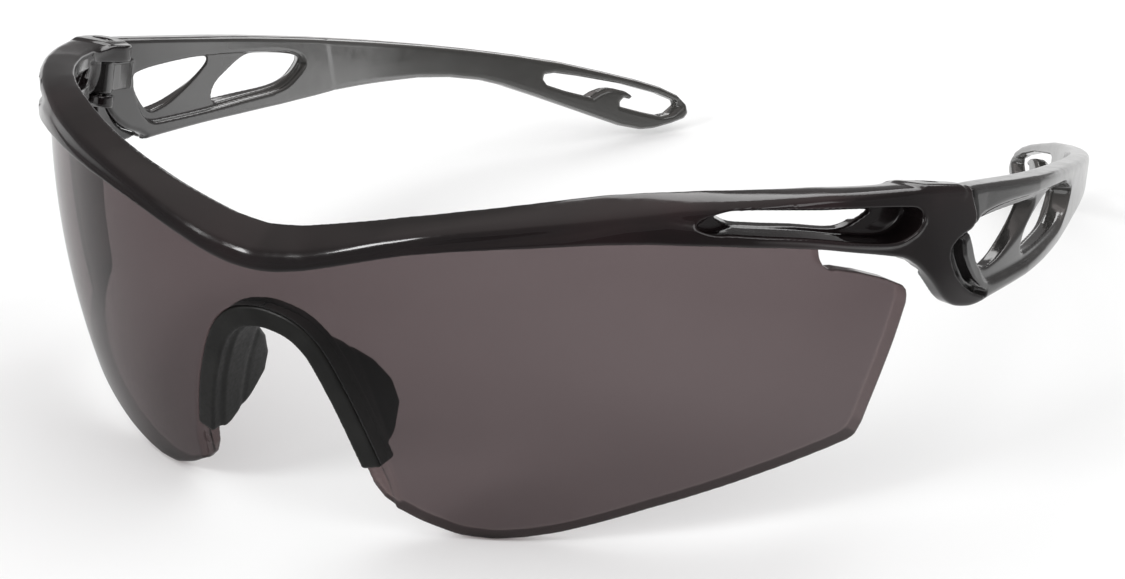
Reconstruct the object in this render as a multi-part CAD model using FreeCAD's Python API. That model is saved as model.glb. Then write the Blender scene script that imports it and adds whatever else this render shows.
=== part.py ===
import FreeCAD, Part
import math
import os

# Wrap-around safety glasses, millimetres and degrees.
# +X is the wearer's left, +Y back towards the ears, +Z up. The glasses stand on the lower
# lens edge and the two temple tips; the origin is on the floor under the middle of the
# bounding box.
#
# Working frames, moved to the origin on export:
#   world   midway between the hinge screw heads, axes as above
#   temple  the world frame tilted about X so that the hinge axes run along z
#   lens    centred on the lens torus, z along its axis of revolution
# In the lens frame a place is an angle round the lens (0 in front, positive to the left),
# a height z and an offset, positive outwards from the front surface.

os.makedirs("parts", exist_ok=True)
Vector = FreeCAD.Vector

# ------------------------------------------------------------------- dimensions
CENTRE_Y = 30.9             # middle of the bounding box behind the hinge screws
FLOOR_Z = -40.65            # floor below the screw heads
GAP = 0.05                  # assembly clearance round the lens

LENS_TILT = 5.386           # the lens axis leans forward
LENS_CENTRE = Vector(0, 19.192, -9.783)
LENS_RH = 69.43             # horizontal wrap radius of the front surface
LENS_RV = 117.6             # vertical radius of the front surface
LENS_T = 2.2                # lens thickness
FLANGE_W = 1.9              # thin lens flange under the nosepiece
FLANGE_OFF0, FLANGE_OFF1 = -1.65, -0.60

FRONT_OFF = 1.25            # offset of the brow face over the nose
REAR_OFF = -3.35            # offset of the brow rear face
SHELL_OFF = -0.85           # inside of the hollow end piece
OUTER_LIMIT = FRONT_OFF - 0.15      # the lug and shelf stop here

# Hinge; heights are z in the temple frame
HINGE_X = 65.0
HINGE_TILT = 15.27          # the hinge axes lean back
BARREL_R, BARREL_Z0, BARREL_Z1 = 2.0, -7.4, -2.4
LUG_R, LUG_Z0, LUG_Z1 = 4.35, -2.3, 0.10
SHELF_R, SHELF_Z0, SHELF_Z1 = 2.45, -9.3, -7.5
HEAD_R, HEAD_Z0, HEAD_Z1 = 1.30, -0.90, 0.10
HEAD_CHAMFER = 0.22
SHANK_R, SHANK_Z0 = 0.70, -9.1
DRIVE_L, DRIVE_W, DRIVE_DEPTH = 1.7, 0.34, 0.42     # cross recess in the head
KNUCKLE_HOLE_R = 0.75
LUG_HOLE_R = 0.72

BAND_W = 2.8                # nosepiece band width inside the notch line
BAND_FRONT = -0.06          # band front face, just under the lens face
BAND_END = -15.6            # height of the lower band ends
WING_FRONT = -2.9           # offset where the nose wings begin

TAIL_START = 60.0           # the temple tables are shortened behind this y
TAIL_SCALE = 0.934
WINDOW_SHIFT = 1.4          # the two front windows sit this far behind their outlines
WEB_INNER, WEB_OUTER = -0.7, 1.4    # faces of the web round them, from the mid-surface
LIP_X = 67.75               # the temple is cut back to this x at the lip
PARTING_GAP = 0.2           # between end piece and temple
SIDE_X0, SIDE_X1 = 40.0, 90.0       # span in x of cuts through the left side

# Parts of the lens torus: height from, height to, angle from, angle to
LENS_REGION = (-30.0, 21.0, -72.0, 72.0)
GROOVE_REGION = (-30.0, 21.0, -4.0, 59.3)
FLANGE_REGION = (-29.0, 15.0, -20.0, 20.0)
NOSE_REGION = (-29.0, 15.0, -30.0, 30.0)
RECESS_REGION = (-5.0, 30.0, 40.0, 80.0)
END_REGION = (-30.0, 24.0, 40.0, 89.0)

# ---------------------------------------------------- brow tables, lens frame
# Angle, offset of the upper and lower half of the brow face
FRONT_UPPER = [(0, FRONT_OFF), (45, 1.3), (55, 1.75), (63, 2.15), (72, 2.25), (79, 1.9),
               (86, 1.6)]
FRONT_LOWER = [(0, FRONT_OFF), (66, FRONT_OFF), (73, 1.6), (86, 1.7)]
# Angle, height
BROW_BOTTOM = [
    (0, 10.7), (2.7, 10.9), (6.2, 11.7), (10, 12.9), (12.5, 13.7), (14.5, 14.3), (17.3, 15.0),
    (21.9, 15.6), (27, 15.85), (32.3, 15.8), (36, 15.65), (41, 15.0), (47.4, 13.5),
    (54.1, 11.5), (58.8, 9.8), (65.1, 6.9), (68.9, 5.0), (70.7, 3.0), (72.6, -0.1),
    (73.9, -2.8), (75.5, -4.6), (78.3, -6.0), (80.6, -6.4), (86, -6.4)]
BROW_CREST = [
    (0, 12.5), (5.9, 13.4), (10.4, 14.9), (14.6, 16.3), (18.7, 17.3), (23.2, 18.0), (30, 18.5),
    (38, 18.6), (45, 18.5), (50, 17.95), (56, 17.1), (60, 16.4), (66, 15.0), (70, 13.9),
    (74, 12.55), (78, 10.8), (86, 8.0)]
BROW_TOP = [
    (0, 14.8), (4.4, 15.3), (9.9, 16.5), (16.3, 17.8), (22.5, 18.7), (28.6, 19.3), (33, 19.6),
    (37.5, 19.7), (42, 19.4), (47.8, 18.65), (53.8, 17.45), (60.2, 16.0), (66.3, 14.2),
    (70.1, 13.1), (74.1, 11.6), (77.8, 9.8), (86, 7.2)]
# Angles of the loft sections
BROW_STATIONS = [0, 3, 6.2, 9.5, 12.5, 15.5, 19, 23, 28, 32.5, 37, 41, 45, 49, 53.5, 58, 62,
                 65.5, 68, 70, 71.5, 73, 74.5, 76.5, 79, 82, 85]
# Closed outlines, angle and height: blind recess, slot through it, wall kept round its end
POCKET = [
    (45.6, 16.5), (48.4, 17.35), (50.4, 17.2), (56, 16.0), (61.3, 14.5), (66.5, 12.8),
    (69.8, 11.5), (70.8, 10.6), (70.9, 9.7), (70.3, 8.7), (69.2, 8.1), (67.4, 7.9), (64.1, 9.0),
    (56.8, 12.1), (50.0, 14.35), (47.2, 15.1)]
SLOT = [(47.6, 16.75), (51.5, 16.0), (55.6, 14.95), (60.5, 13.5), (66.7, 11.5), (65.0, 10.4),
        (62.2, 10.1), (57.1, 11.95), (52.5, 13.35), (49.5, 14.45)]
POCKET_WALL = [(59.0, 18.0), (72.2, 12.2), (72.4, 9.3), (70.8, 7.1), (67.0, 6.6), (59.0, 9.0)]

# ---------------------------------------------------- lens tables, lens frame
# Angle, height of the lens top above the brow bottom
LENS_TOP_RISE = [(0, 1.8), (40, 1.8), (46, 0.7), (60, 0.7), (90, 0.7)]
# Angle, height of the lower edge
LENS_LOWER = [
    (10.0, -21.0), (12.6, -20.95), (15.2, -22.8), (19.3, -24.8), (22.9, -25.3), (26, -25.1),
    (30.1, -24.4), (39.7, -21.85), (45.7, -20.7), (51.8, -19.7), (57, -19.05), (62, -18.6),
    (75, -17.6)]
# Closed outline of the material cut off the outer end, angle and height
LENS_OUTER = [
    (63.0, -26.0), (62.4, -18.9), (63.4, -18.1), (64.2, -16.6), (65.0, -14.2), (66.4, -10.5),
    (68.2, -5.9), (69.7, -1.8), (69.85, -0.8), (69.75, 0.0), (69.3, 0.75), (67.0, 2.6),
    (63.7, 4.7), (61.0, 6.1), (60.0, 6.4), (59.3, 7.2), (58.95, 8.2), (58.9, 9.6),
    (58.9, 30.0), (84, 30.0), (84, -26.0)]
# Left half of the nose notch, x and z
NOTCH = [
    (0.0, 5.29), (2.0, 5.07), (4.1, 4.5), (6.1, 3.4), (8.0, 1.5), (9.35, -0.75),
    (10.45, -3.2), (11.6, -6.1), (12.6, -9.2), (13.35, -11.9), (14.05, -14.6), (14.7, -17.2)]
# Lower ends of the inner flange line, and of its clearance in the nosepiece, x and z
FLANGE_END = [(11.95, -15.9), (12.4, -18.0), (13.4, -19.9), (15.0, -21.4)]
FLANGE_CLEAR_END = [(11.90, -15.9), (12.3, -18.0), (13.3, -19.9), (15.0, -21.5)]
# Lower end of the outer flange line, x and z
FLANGE_OUTER_END = [(15.2, -19.0), (15.4, -20.4)]
# Rear edge of the nose wings, y and z
WING_REAR = [
    (-65.4, 6.0), (-65.3, 3.0), (-64.4, 0.8), (-62.2, -1.3), (-59.2, -4.6), (-57.5, -7.9),
    (-57.6, -10.9), (-60.2, -13.6), (-63.2, -15.4), (-65.0, -16.6)]

# ------------------------------------------------ temple tables, temple frame
# Line between end piece and temple, y and z
PARTING = [
    (4.6, 2.5), (4.6, 0.2), (5.3, -1.2), (6.2, -2.4), (6.7, -3.4), (6.7, -4.1), (6.1, -4.8),
    (4.7, -5.5), (3.5, -6.2), (2.6, -7.2), (2.7, -8.4), (3.6, -9.7), (5.2, -11.1),
    (6.9, -12.2), (9.2, -13.15), (12.2, -13.75), (13.6, -14.2), (13.6, -22.0)]
# Closed outline of the lip step, y and z
LIP = [(-2.0, -6.0), (4.5, -6.3), (4.6, -6.9), (5.4, -8.4), (7.1, -9.9), (9.5, -11.5),
       (12.3, -12.75), (14.2, -13.3), (14.2, -22.0), (-2.0, -22.0)]
# Closed outline of the hollow in the end piece, y and z
HOLLOW = [(-9.0, LUG_Z0), (30.0, LUG_Z0), (30.0, -30.0), (-3.0, -30.0), (-9.0, -12.0)]
# y, x of the temple mid-surface
TEMPLE_MID = [(-6, 67.60), (0, 67.60), (12, 67.45), (30, 66.96), (55, 63.01), (80, 55.9),
              (102, 44.8), (118, 34.8), (130, 26.8)]
# Shortened y, rail thickness
TEMPLE_T = [(-10, 3.5), (10, 3.5), (28, 3.9), (50, 3.4), (78, 3.1), (90, 2.7), (106, 2.2),
            (200, 2.2)]
# Shortened y, distance of the inner face inside the mid-surface
TEMPLE_INNER = [(0, 1.5), (82, 1.5), (104, 1.1), (200, 1.1)]
# Outlines, y and z
TEMPLE_TOP = [
    (4.9, 0.35), (8.7, 0.5), (12.9, 0.6), (22.7, 0.8), (36.9, 1.15), (50.2, 1.35),
    (63.4, 1.35), (75.6, 1.2), (84.2, 1.0), (92.4, 0.65), (100.3, 0.1), (108, -0.9),
    (114, -1.8), (118.2, -2.7), (121.4, -3.9), (123.1, -5.4), (123.6, -6.9), (123.0, -7.95),
    (121.0, -8.95), (118.2, -10.05), (116, -10.45)]
TEMPLE_BOTTOM = [
    (112.6, -10.1), (108.7, -9.1), (102.9, -7.6), (96.9, -6.1), (90.8, -4.7), (86.6, -4.1),
    (80.3, -3.95), (73.8, -4.35), (64.8, -5.55), (61.7, -6.0), (55.6, -7.05), (51.8, -7.95),
    (44.5, -9.5), (35.7, -11.1), (26.5, -12.6), (16.9, -14.2), (13.9, -14.75)]
STRUT_END = [(13.9, -14.7), (13.9, -14.3)]
FRONT_WINDOW = [
    (8.1, -4.9), (11.4, -3.9), (17.6, -2.9), (24.6, -2.2), (25.5, -2.45), (25.1, -3.5),
    (22.1, -6.2), (18.1, -8.9), (15.3, -10.1), (13.9, -10.4), (12.6, -10.1), (11.0, -8.8),
    (9.2, -6.8), (7.9, -5.5)]
MIDDLE_WINDOW = [
    (35.3, -1.7), (38.5, -1.4), (42.8, -1.35), (45.5, -1.65), (46.1, -2.35), (45.3, -3.8),
    (43.8, -5.3), (41.0, -6.7), (36.0, -7.9), (30.3, -9.15), (28.7, -9.2), (28.0, -8.5),
    (28.1, -7.3), (29.0, -5.95), (31.1, -4.25), (33.2, -2.7)]
WEB = [
    (8.6, -3.9), (11.5, -3.0), (18, -2.1), (26, -1.5), (36, -0.9), (45.4, -0.75),
    (48.6, -2.1), (47.5, -4.4), (44, -7.0), (36, -8.8), (28, -10.4), (19, -11.7),
    (14.2, -12.0), (11.3, -10.2), (9.2, -7.2), (8.2, -5.3)]
REAR_WINDOW = [
    (97.83, -2.3), (97.73, -3.1), (98.58, -4), (102.07, -4.8), (106.62, -5.5),
    (107.78, -4.6), (109.16, -3.9), (110.42, -3.7), (112.42, -4), (113.68, -4.7),
    (113.36, -5.3), (112.31, -5.1), (111.69, -5.9), (111.79, -6.7), (115.78, -7.4),
    (119.01, -7.8), (120.68, -7.3), (122, -5.8), (121.52, -5), (118.41, -4), (111.79, -2.8),
    (103.76, -2.1), (99.63, -1.9)]
# Plan of the arm from the rail to the hinge barrel, x and y
ARM = [(63.15, 0.7), (63.9, 3.4), (65.0, 6.6), (66.25, 9.6), (67.6, 9.6), (67.6, 4.3),
       (66.4, 3.2), (66.4, 0.0), (65.0, -0.5)]
ARM_Z, ARM_HEIGHT = -6.9, 4.2


# ---------------------------------------------------------------------- tables
def lerp(table, x):
    """Table value at |x|, held constant past the ends."""
    x = abs(x)
    if x <= table[0][0]:
        return table[0][1]
    for (x0, value0), (x1, value1) in zip(table, table[1:]):
        if x <= x1:
            return value0 + (value1 - value0) * (x - x0) / (x1 - x0)
    return table[-1][1]


def smooth(table, x, half=1.6):
    """Table averaged over x +- half, so that a loft through it stays fair."""
    steps = 8
    total = sum(lerp(table, x + half * (2.0 * i / steps - 1.0)) for i in range(steps + 1))
    return total / (steps + 1)


# ---------------------------------------------------------------------- frames
def tilt(shape, degrees):
    matrix = FreeCAD.Matrix()
    matrix.rotateX(math.radians(degrees))
    return shape.transformed(matrix)


def lens_to_world(shape):
    matrix = FreeCAD.Matrix()
    matrix.rotateX(math.radians(LENS_TILT))
    matrix.move(LENS_CENTRE)
    return shape.transformed(matrix)


def world_to_lens(shape):
    matrix = FreeCAD.Matrix()
    matrix.move(LENS_CENTRE * -1)
    matrix.rotateX(-math.radians(LENS_TILT))
    return shape.transformed(matrix)


def temple_to_world(shape):
    return tilt(shape, -HINGE_TILT)


def world_to_temple(shape):
    return tilt(shape, HINGE_TILT)


def temple_to_lens(shape):
    return world_to_lens(temple_to_world(shape))


def mirror(shape):
    return shape.mirror(Vector(0, 0, 0), Vector(1, 0, 0))


# ---------------------------------------------------------------- basic shapes
def largest(shape):
    return max(shape.Solids, key=lambda solid: solid.Volume)


def closed_wire(points):
    return Part.makePolygon(points + [points[0]])


def poly_face(points):
    return Part.Face(closed_wire(points))


def spline_face(points):
    curve = Part.BSplineCurve()
    curve.interpolate(Points=points, PeriodicFlag=True)
    return Part.Face(Part.Wire(curve.toShape()))


def prism_x(outline, x0, x1, make_face=poly_face):
    """A (y, z) outline extruded from x0 to x1."""
    return make_face([Vector(x0, y, z) for y, z in outline]).extrude(Vector(x1 - x0, 0, 0))


def prism_y(outline, depth, y0=-80.0):
    """An (x, z) outline extruded back from y0."""
    return poly_face([Vector(x, y0, z) for x, z in outline]).extrude(Vector(0, depth, 0))


def hinge_cylinder(radius, z0, z1):
    return Part.makeCylinder(radius, z1 - z0, Vector(HINGE_X, 0, z0), Vector(0, 0, 1))


# ------------------------------------------------------------------ lens torus
def polar(radius, angle, z):
    turn = math.radians(angle)
    return Vector(radius * math.sin(turn), -radius * math.cos(turn), z)


def torus_radius(offset, z):
    return LENS_RH - LENS_RV + math.sqrt((LENS_RV + offset) ** 2 - z * z)


def lens_point(angle, offset, z):
    return polar(torus_radius(offset, z), angle, z)


def shell(inner, outer, region):
    """Piece of the lens torus between two offsets of the front surface."""
    z0, z1, angle0, angle1 = region
    middle = 0.5 * (z0 + z1)

    def point(offset, z):
        return lens_point(angle0, offset, z)

    face = Part.Face(Part.Wire([
        Part.Arc(point(outer, z0), point(outer, middle), point(outer, z1)).toShape(),
        Part.makeLine(point(outer, z1), point(inner, z1)),
        Part.Arc(point(inner, z1), point(inner, middle), point(inner, z0)).toShape(),
        Part.makeLine(point(inner, z0), point(outer, z0))]))
    return face.revolve(Vector(0, 0, 0), Vector(0, 0, 1), angle1 - angle0)


def radial_prism(outline, angle, r0=50.0, r1=85.0):
    """An (angle, height) outline cut straight through along the radius at one angle."""
    outward = polar(1, angle, 0)
    across = polar(1, angle + 90, 0)
    points = []
    for a, z in outline:
        side = torus_radius(0.4, z) * math.sin(math.radians(a - angle))
        points.append(outward * r0 + across * side + Vector(0, 0, z))
    return poly_face(points).extrude(outward * (r1 - r0))


def edge_cutter(height_at, angle0, angle1, steps, r0, r1, z_far):
    """Loft round the lens between the edge height_at(angle) and a far height."""
    wires = []
    for i in range(steps + 1):
        angle = angle0 + (angle1 - angle0) * i / steps
        z = height_at(angle)
        corners = ((r0, z_far), (r1, z_far), (r1, z), (r0, z))
        wires.append(closed_wire([polar(r, angle, height) for r, height in corners]))
    return Part.makeLoft(wires, True, False)


def lens_top_cutter(clearance):
    table = []
    for i in range(61):
        angle = i * 1.5
        z = smooth(BROW_BOTTOM, angle, 1.2) + smooth(LENS_TOP_RISE, angle, 1.5)
        table.append((angle, z + clearance))
    return edge_cutter(lambda angle: lerp(table, angle), -74.0, 74.0, 40, 50.0, 90.0, 40.0)


# ------------------------------------------------------------------ notch line
def notch_offset(distance):
    """Left half of the notch line moved inwards, towards smaller x."""
    line = []
    for i, (x, z) in enumerate(NOTCH):
        before, after = NOTCH[max(i - 1, 0)], NOTCH[min(i + 1, len(NOTCH) - 1)]
        dx, dz = after[0] - before[0], after[1] - before[1]
        if i == 0:
            dx, dz = 1.0, 0.0
        length = math.hypot(dx, dz)
        line.append((x + distance * dz / length, z - distance * dx / length))
    line[0] = (0.0, line[0][1])
    return line


def notch_line(distance, z_min, end):
    """The moved notch line above z_min, followed by its end points."""
    return [point for point in notch_offset(distance) if point[1] > z_min] + end


def arch(line):
    """A left half line completed with its mirror image."""
    return [(-x, z) for x, z in reversed(line[1:])] + line


def arch_band(outer, inner):
    return arch(outer) + arch(inner)[::-1]


def flange_strip(width, end):
    """Left strip along the notch line, cut from front to back."""
    inner = notch_line(width, -15.0, end)
    outer = notch_offset(-0.35) + FLANGE_OUTER_END
    return prism_y(inner + outer[::-1], 30.0)


# ------------------------------------------------------------------------ lens
def make_lens():
    lens = shell(-LENS_T, 0.0, LENS_REGION).cut(lens_top_cutter(0.0))
    angles = [8.0 + i * 1.5 for i in range(46)]
    lower_table = [(angle, smooth(LENS_LOWER, angle, 1.0)) for angle in angles]
    lower = edge_cutter(lambda angle: smooth(lower_table, angle, 0.8), 8.5, 74.0, 36,
                        LENS_RH - 20.0, LENS_RH + 18.0, -60.0)
    outer = radial_prism(LENS_OUTER, 65.0, 40.0, 95.0)
    notch_x = NOTCH[-1][0]
    notch = prism_y(arch(NOTCH) + [(notch_x, -40.0), (-notch_x, -40.0)], 50.0, -90.0)
    for cutter in (lower, mirror(lower), outer, mirror(outer), notch):
        lens = lens.cut(cutter)

    # thin flange inside the notch line
    strip = flange_strip(FLANGE_W, FLANGE_END)
    sheet = shell(FLANGE_OFF0, FLANGE_OFF1, FLANGE_REGION)
    lens = lens.fuse(sheet.common(strip).fuse(sheet.common(mirror(strip))).removeSplitter())
    # round gate mark on each bare flange end
    for angle in (11.05, -11.05):
        start = lens_point(angle, -0.9, -17.3)
        reach = lens_point(angle, -0.42, -17.3) - start
        lens = lens.fuse(Part.makeCylinder(0.70, reach.Length, start, reach))
    return lens.removeSplitter()


# ------------------------------------------------------------------ brow frame
def brow_section(angle):
    bottom, top = smooth(BROW_BOTTOM, angle), smooth(BROW_TOP, angle)
    # towards the sides the crest may rise above the top edge
    crest_limit = top - 0.5 + 2.6 * max(0.0, min(1.0, (angle - 46.0) / 14.0))
    crest = min(smooth(BROW_CREST, angle), crest_limit)
    lower, upper = smooth(FRONT_LOWER, angle), smooth(FRONT_UPPER, angle)
    # offset, height
    section = [(lower - 0.45, bottom), (lower, bottom + 0.5), (upper, crest - 0.35),
               (upper - 0.45, crest + 0.1), (-2.2, top + 0.05), (-2.9, top - 0.05),
               (REAR_OFF, top - 0.6), (REAR_OFF, bottom + 0.45), (REAR_OFF + 0.45, bottom)]
    return closed_wire([lens_point(angle, offset, z) for offset, z in section])


def behind_parting(gap):
    """Everything on the temple's side of the parting line."""
    outline = [(y + gap, z) for y, z in PARTING] + [(60.0, -22.0), (60.0, 2.5)]
    return prism_x(outline, SIDE_X0, SIDE_X1)


def end_piece_hollow():
    hollow = temple_to_lens(prism_x(HOLLOW, SIDE_X0, SIDE_X1))
    hollow = shell(-25.0, SHELL_OFF, END_REGION).common(hollow)
    # a wall stays between the hollow and the blind end of the recess
    wall = radial_prism(POCKET_WALL, 65.0).common(shell(-2.6, 8.0, RECESS_REGION))
    return hollow.cut(wall)


def make_shelf():
    """Lower hinge plate, joined to the wall of the end piece."""
    root = [(-2.9, SHELF_Z0), (0.5, SHELF_Z0), (0.5, SHELF_Z1), (-2.9, SHELF_Z1)]
    return hinge_cylinder(SHELF_R, SHELF_Z0, SHELF_Z1).fuse(prism_x(root, 63.3, 68.5))


def make_lug():
    """Upper hinge plate, filling the corner inside the folding temple's path."""
    root = [(-6.5, LUG_Z0), (0.0, LUG_Z0), (0.0, LUG_Z1), (-2.8, LUG_Z1 - 0.1), (-6.5, -1.5)]
    return hinge_cylinder(LUG_R, LUG_Z0, LUG_Z1).fuse(prism_x(root, HINGE_X - LUG_R, 66.5))


def make_brow():
    brow = Part.makeLoft([brow_section(angle) for angle in BROW_STATIONS], True, False)
    groove = shell(-LENS_T - GAP, GAP, GROOVE_REGION).cut(lens_top_cutter(GAP))
    pocket = radial_prism(POCKET, 58.0).common(shell(-1.75, 8.0, RECESS_REGION))
    slot = radial_prism(SLOT, 58.0)
    lug_box = prism_x([(0.0, 4.0), (20.0, 4.0), (20.0, LUG_Z0), (0.0, LUG_Z0)], 50.0, HINGE_X)
    lug_clear = lug_box.cut(hinge_cylinder(LUG_R + 0.15, -3.0, 5.0))
    barrel_clear = hinge_cylinder(BARREL_R + 0.40, BARREL_Z0 - 0.1, BARREL_Z1 + 0.1)
    for cutter in (groove, pocket, slot, temple_to_lens(behind_parting(0.0)),
                   end_piece_hollow(), temple_to_lens(lug_clear),
                   temple_to_lens(barrel_clear)):
        brow = brow.cut(cutter)

    limit = shell(-12.0, OUTER_LIMIT, END_REGION)
    for plate in (make_shelf(), make_lug()):
        brow = brow.fuse(temple_to_lens(plate).common(limit))
    # screw hole and the seat of the screw head
    seat = hinge_cylinder(HEAD_R + 0.06, HEAD_Z0 - 0.03, 4.0)
    brow = brow.cut(temple_to_lens(hinge_cylinder(LUG_HOLE_R, -12.0, 3.0).fuse(seat)))
    half = largest(brow)
    return largest(half.fuse(mirror(half)))


# ------------------------------------------------------------------- nosepiece
def make_nosepiece():
    outer_gap = 0.06        # between the band and the notch edge
    end_x = notch_offset(outer_gap)[-1][0] - 0.62
    end_z = BAND_END + 0.1
    band = prism_y(arch_band(notch_line(outer_gap, BAND_END, [(end_x, BAND_END)]),
                             notch_line(BAND_W, BAND_END + 0.4, [(11.55, end_z)])), 14.9)
    wings = prism_y(arch_band(notch_line(1.5, BAND_END + 0.2, [(12.75, end_z)]),
                              notch_line(3.3, BAND_END + 0.6, [(11.05, end_z)])), 45.0)
    wings = wings.common(shell(-25.0, WING_FRONT, NOSE_REGION))
    nosepiece = band.fuse(wings).common(shell(-25.0, BAND_FRONT, NOSE_REGION))
    side = WING_REAR + [(-80.0, -16.7), (-80.0, 6.0)]
    nosepiece = nosepiece.common(prism_x(side, -40.0, 40.0))

    # slot for the lens flange
    sheet = shell(FLANGE_OFF0 - GAP, FLANGE_OFF1 + GAP, FLANGE_REGION)
    strip = flange_strip(FLANGE_W + GAP, FLANGE_CLEAR_END)
    return largest(nosepiece.cut(sheet.common(strip)).cut(sheet.common(mirror(strip))))


# --------------------------------------------------------------------- temples
def shorten(y):
    return y if y < TAIL_START else TAIL_START + (y - TAIL_START) * TAIL_SCALE


def shortened(outline):
    return [(shorten(y), z) for y, z in outline]


def rail_curve(offset_at):
    """Temple mid-curve moved outwards by offset_at(y)."""
    middle = Part.BSplineCurve()
    middle.interpolate(Points=[Vector(x, shorten(y), 0) for y, x in TEMPLE_MID])
    first, last = middle.FirstParameter, middle.LastParameter
    steps = 60
    points = []
    for i in range(steps + 1):
        parameter = first + (last - first) * i / steps
        point, tangent = middle.value(parameter), middle.tangent(parameter)[0]
        offset = offset_at(max(point.y, 0.0))
        points.append(Vector(point.x + tangent.y * offset, point.y - tangent.x * offset, -25))
    curve = Part.BSplineCurve()
    curve.approximate(Points=points, Tolerance=0.01)
    return curve


def rail_slab(inner_at, outer_at):
    """Everything between two offsets of the temple mid-surface."""
    inner, outer = rail_curve(inner_at), rail_curve(outer_at)
    rear = Part.makeLine(outer.value(outer.LastParameter), inner.value(inner.LastParameter))
    front = Part.makeLine(inner.value(inner.FirstParameter), outer.value(outer.FirstParameter))
    wire = Part.Wire([outer.toShape(), rear, inner.toShape(), front])
    return Part.Face(wire).extrude(Vector(0, 0, 35))


def make_temple():
    """Left temple, in the temple frame."""
    rail = rail_slab(lambda y: -lerp(TEMPLE_INNER, y),
                     lambda y: lerp(TEMPLE_T, y) - lerp(TEMPLE_INNER, y))
    # the front edge follows the parting line without its straight end runs
    front = [(y + PARTING_GAP, z) for y, z in PARTING[2:-2]]
    outline = shortened(TEMPLE_TOP) + shortened(TEMPLE_BOTTOM) + STRUT_END + front[::-1]
    temple = rail.common(prism_x(outline, 0.0, SIDE_X1))

    # thin web with the two front windows, then the rear window
    web = prism_x(WEB, SIDE_X0, SIDE_X1, spline_face)
    for inner, outer in ((-8.0, WEB_INNER), (WEB_OUTER, 8.0)):
        temple = temple.cut(web.common(rail_slab(lambda y: inner, lambda y: outer)))
    for window in (FRONT_WINDOW, MIDDLE_WINDOW):
        moved = [(y + WINDOW_SHIFT, z) for y, z in window]
        temple = temple.cut(prism_x(moved, 0.0, SIDE_X1, spline_face))
    temple = temple.cut(prism_x(shortened(REAR_WINDOW), 0.0, SIDE_X1))

    # stepped lip where the strut meets the end piece, then room for lug and shelf
    temple = temple.cut(prism_x(LIP, LIP_X, SIDE_X1))
    temple = temple.cut(hinge_cylinder(LUG_R + 0.35, LUG_Z0 - GAP, 5.0))
    temple = temple.cut(hinge_cylinder(SHELF_R + 0.3, SHELF_Z0 - 3.0, SHELF_Z1 + GAP))
    # round clearance on the outer side of the barrel
    kept = Part.makeBox(20, 20, 20, Vector(HINGE_X - 20 + 0.9, -10, -10))
    temple = temple.cut(hinge_cylinder(3.2, -8.6, -0.6).cut(kept))

    # the arm keeps clear of the thin outer wall of the hollow end piece
    arm = poly_face([Vector(x, y, ARM_Z) for x, y in ARM]).extrude(Vector(0, 0, ARM_HEIGHT))
    wall = world_to_temple(lens_to_world(shell(SHELL_OFF - 0.2, 9.0, END_REGION)))
    temple = temple.fuse(arm.cut(wall.cut(behind_parting(0.25))))
    temple = temple.fuse(hinge_cylinder(BARREL_R, BARREL_Z0, BARREL_Z1))
    temple = temple.cut(hinge_cylinder(KNUCKLE_HOLE_R, -12.0, 3.0))
    return largest(temple.removeSplitter())


# ---------------------------------------------------------------- hinge screws
def make_screw():
    """Left M1.4 screw with a cross recess, in the temple frame."""
    head = hinge_cylinder(HEAD_R, HEAD_Z0, HEAD_Z1)
    rim = [edge for edge in head.Edges
           if abs(edge.BoundBox.ZMin - HEAD_Z1) < 1e-6
           and abs(edge.BoundBox.ZMax - HEAD_Z1) < 1e-6]
    head = head.makeChamfer(HEAD_CHAMFER, rim)
    bars = [Part.makeBox(size_x, size_y, 0.5,
                         Vector(HINGE_X - size_x / 2, -size_y / 2, HEAD_Z1 - DRIVE_DEPTH))
            for size_x, size_y in ((DRIVE_L, DRIVE_W), (DRIVE_W, DRIVE_L))]
    screw = hinge_cylinder(SHANK_R, SHANK_Z0, HEAD_Z0).fuse(head).removeSplitter()
    return screw.cut(bars[0].fuse(bars[1])).Solids[0]


# ---------------------------------------------------------------------- export
left_temple = temple_to_world(make_temple())
left_screw = temple_to_world(make_screw())
pieces = {
    "brow_frame": lens_to_world(make_brow()),
    "lens": lens_to_world(make_lens()),
    "nosepiece": lens_to_world(make_nosepiece()),
    "temple_left": left_temple,
    "temple_right": mirror(left_temple),
    "hinge_screw_left": left_screw,
    "hinge_screw_right": mirror(left_screw),
}
for name, shape in pieces.items():
    solid = shape.Solids[0].copy()
    solid.translate(Vector(0, -CENTRE_Y, -FLOOR_Z))
    solid.exportStep("parts/%s.step" % name)
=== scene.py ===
"""Wrap-around safety glasses: brow frame, lens shield, nosepiece and two temples.

The wearer looks along -Y, with the left side at +X and up at +Z. Shapes are signed distance
fields in millimetres, negative inside, sampled on grids that follow the lens or the temple.
They are turned into meshes that ride on the CAD bodies.
"""
import math
from functools import reduce

import bpy
import numpy as np
from mathutils import Matrix, Vector
from numpy import cos, exp, maximum, minimum, sin, sqrt


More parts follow.
